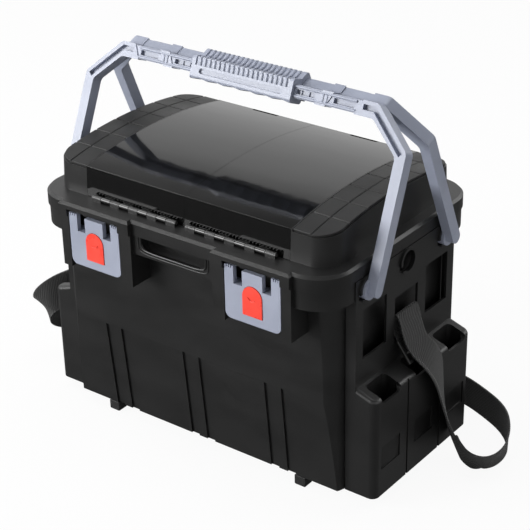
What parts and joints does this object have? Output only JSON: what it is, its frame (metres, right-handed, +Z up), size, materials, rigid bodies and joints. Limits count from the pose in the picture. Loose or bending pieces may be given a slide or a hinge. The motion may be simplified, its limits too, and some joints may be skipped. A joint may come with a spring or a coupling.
{
  "type": "fishing seat box",
  "caption": "Moulded seat box with a hinged padded lid, top compartment doors, folding carrying handle, side pockets and a shoulder strap.",
  "frame": {"origin": "on the floor under the middle of the box, at the underside of the feet", "axes": "+X along the length to the right-hand pockets as seen from the latches, +Y to the rear hinge, +Z up; the latches face -Y"},
  "size_m": [0.6218, 0.3229, 0.4489],
  "materials": {
    "shell": "satin textured black",
    "gloss": "polished black",
    "pad": "soft black with embossed tiles",
    "grey": "satin lavender grey",
    "red": "glossy red",
    "steel": "bright drawn",
    "webbing": "woven black",
    "foot": "matte black"
  },
  "bodies": {
    "box": {"tub": "shell", "left_side_carrier": "shell", "right_side_carrier": "shell", "carrier_screws": "steel", "feet": "foot", "lid_hinge_pins": "steel", "left_latch_pin": "steel", "right_latch_pin": "steel", "shoulder_strap": "webbing", "left_slide": "shell", "right_slide": "shell"},
    "lid": {"lid_frame": "shell", "left_seat_pad": "pad", "right_seat_pad": "pad", "left_door_pin": "steel", "right_door_pin": "steel", "left_striker": "shell", "right_striker": "shell"},
    "left_door": {"left_door": "gloss"},
    "right_door": {"right_door": "gloss"},
    "front_handle": {"front_bail": "grey", "front_grip": "grey"},
    "rear_handle": {"rear_bail": "grey", "rear_grip": "grey"},
    "left_latch": {"left_latch": "grey"},
    "right_latch": {"right_latch": "grey"},
    "left_button": {"left_latch_button": "red", "left_button_spring": "steel"},
    "right_button": {"right_latch_button": "red", "right_button_spring": "steel"}
  },
  "joints": [
    {"name": "lid_hinge", "type": "hinge", "parent": "box", "child": "lid", "pos_m": [0, 0.1505, 0.282], "axis": [-1, 0, 0], "range_deg": [0, 95]},
    {"name": "front_bail_fold", "type": "hinge", "parent": "box", "child": "front_handle", "pos_m": [0, -0.079, 0.265], "axis": [1, 0, 0], "range_deg": [0, 171]},
    {"name": "rear_bail_fold", "type": "hinge", "parent": "box", "child": "rear_handle", "pos_m": [0, 0.079, 0.265], "axis": [-1, 0, 0], "range_deg": [0, 171]},
    {"name": "left_door_hinge", "type": "hinge", "parent": "lid", "child": "left_door", "pos_m": [0, -0.1305, 0.3015], "axis": [1, 0, 0], "range_deg": [0, 24]},
    {"name": "left_latch_swing", "type": "hinge", "parent": "box", "child": "left_latch", "pos_m": [0, -0.1435, 0.24], "axis": [1, 0, 0], "range_deg": [0, 60]},
    {"name": "left_button_press", "type": "slide", "parent": "left_latch", "child": "left_button", "axis": [0, 1, 0], "range_m": [0, 0.003], "stiffness_N_per_m": 800},
    {"name": "right_door_hinge", "type": "hinge", "parent": "lid", "child": "right_door", "pos_m": [0, -0.1305, 0.3015], "axis": [1, 0, 0], "range_deg": [0, 24]},
    {"name": "right_latch_swing", "type": "hinge", "parent": "box", "child": "right_latch", "pos_m": [0, -0.1435, 0.24], "axis": [1, 0, 0], "range_deg": [0, 60]},
    {"name": "right_button_press", "type": "slide", "parent": "right_latch", "child": "right_button", "axis": [0, 1, 0], "range_m": [0, 0.003], "stiffness_N_per_m": 800}
  ],
  "couplings": [
    {"joint": "front_bail_fold", "follows": "lid_hinge", "ratio": 1.8},
    {"joint": "rear_bail_fold", "follows": "lid_hinge", "ratio": 1.8}
  ]
}
